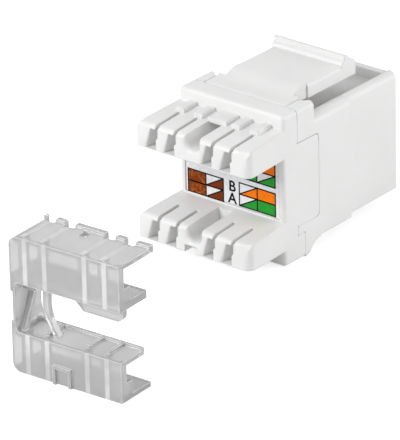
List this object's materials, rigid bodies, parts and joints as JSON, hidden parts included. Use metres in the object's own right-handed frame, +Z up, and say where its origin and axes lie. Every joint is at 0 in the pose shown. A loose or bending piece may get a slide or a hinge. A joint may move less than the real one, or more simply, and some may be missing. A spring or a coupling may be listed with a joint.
{
  "type": "keystone jack",
  "caption": "Keystone jack for network cable: modular plug port in front, snap latch on top, two rows of punch-down towers behind and a clear dust cap taken off.",
  "frame": {"origin": "middle of the front face, where the jack fills the opening of a wall plate", "axes": "+Y out through the plug port, +Z up to the latch, +X to the right seen from behind"},
  "size_m": [0.0238, 0.063, 0.0217],
  "materials": {
    "white_plastic": "satin moulded white plastic",
    "clear_plastic": "clear polycarbonate",
    "label_film": "printed film with fields of colour",
    "board_laminate": "lacquered laminate",
    "carrier_plastic": "moulded plastic",
    "gold_contact": "gold-plated spring wire",
    "tinned_blade": "tin-plated sheet"
  },
  "bodies": {
    "jack": {"front_housing": "white_plastic", "rear_housing": "white_plastic", "wiring_label": "label_film", "circuit_board": "board_laminate", "contact_carrier": "carrier_plastic", "dust_cap": "clear_plastic", "idc_blade_1": "tinned_blade", "idc_blade_2": "tinned_blade", "idc_blade_3": "tinned_blade", "idc_blade_4": "tinned_blade", "idc_blade_5": "tinned_blade", "idc_blade_6": "tinned_blade", "idc_blade_7": "tinned_blade", "idc_blade_8": "tinned_blade"},
    "latch": {"latch_plate": "white_plastic"},
    "wire_1": {"contact_wire_1": "gold_contact"},
    "wire_2": {"contact_wire_2": "gold_contact"},
    "wire_3": {"contact_wire_3": "gold_contact"},
    "wire_4": {"contact_wire_4": "gold_contact"},
    "wire_5": {"contact_wire_5": "gold_contact"},
    "wire_6": {"contact_wire_6": "gold_contact"},
    "wire_7": {"contact_wire_7": "gold_contact"},
    "wire_8": {"contact_wire_8": "gold_contact"}
  },
  "joints": [
    {"name": "latch_press", "type": "hinge", "parent": "jack", "child": "latch", "pos_m": [0, -0.01972, 0.00953], "axis": [1, 0, 0], "range_deg": [-6, 0], "stiffness_Nm_per_rad": 0.2},
    {"name": "wire_1_lift", "type": "hinge", "parent": "jack", "child": "wire_1", "pos_m": [-0.00356, -0.01695, 0.0039], "axis": [1, 0, 0], "range_deg": [0, 7.5], "stiffness_Nm_per_rad": 0.01},
    {"name": "wire_2_lift", "type": "hinge", "parent": "jack", "child": "wire_2", "pos_m": [-0.00254, -0.01695, 0.0039], "axis": [1, 0, 0], "range_deg": [0, 7.5], "stiffness_Nm_per_rad": 0.01},
    {"name": "wire_3_lift", "type": "hinge", "parent": "jack", "child": "wire_3", "pos_m": [-0.00152, -0.01695, 0.0039], "axis": [1, 0, 0], "range_deg": [0, 7.5], "stiffness_Nm_per_rad": 0.01},
    {"name": "wire_4_lift", "type": "hinge", "parent": "jack", "child": "wire_4", "pos_m": [-0.00051, -0.01695, 0.0039], "axis": [1, 0, 0], "range_deg": [0, 7.5], "stiffness_Nm_per_rad": 0.01},
    {"name": "wire_5_lift", "type": "hinge", "parent": "jack", "child": "wire_5", "pos_m": [0.00051, -0.01695, 0.0039], "axis": [1, 0, 0], "range_deg": [0, 7.5], "stiffness_Nm_per_rad": 0.01},
    {"name": "wire_6_lift", "type": "hinge", "parent": "jack", "child": "wire_6", "pos_m": [0.00152, -0.01695, 0.0039], "axis": [1, 0, 0], "range_deg": [0, 7.5], "stiffness_Nm_per_rad": 0.01},
    {"name": "wire_7_lift", "type": "hinge", "parent": "jack", "child": "wire_7", "pos_m": [0.00254, -0.01695, 0.0039], "axis": [1, 0, 0], "range_deg": [0, 7.5], "stiffness_Nm_per_rad": 0.01},
    {"name": "wire_8_lift", "type": "hinge", "parent": "jack", "child": "wire_8", "pos_m": [0.00356, -0.01695, 0.0039], "axis": [1, 0, 0], "range_deg": [0, 7.5], "stiffness_Nm_per_rad": 0.01}
  ],
  "couplings": [
    {"joint": "wire_2_lift", "follows": "wire_1_lift", "ratio": 1},
    {"joint": "wire_3_lift", "follows": "wire_1_lift", "ratio": 1},
    {"joint": "wire_4_lift", "follows": "wire_1_lift", "ratio": 1},
    {"joint": "wire_5_lift", "follows": "wire_1_lift", "ratio": 1},
    {"joint": "wire_6_lift", "follows": "wire_1_lift", "ratio": 1},
    {"joint": "wire_7_lift", "follows": "wire_1_lift", "ratio": 1},
    {"joint": "wire_8_lift", "follows": "wire_1_lift", "ratio": 1}
  ]
}
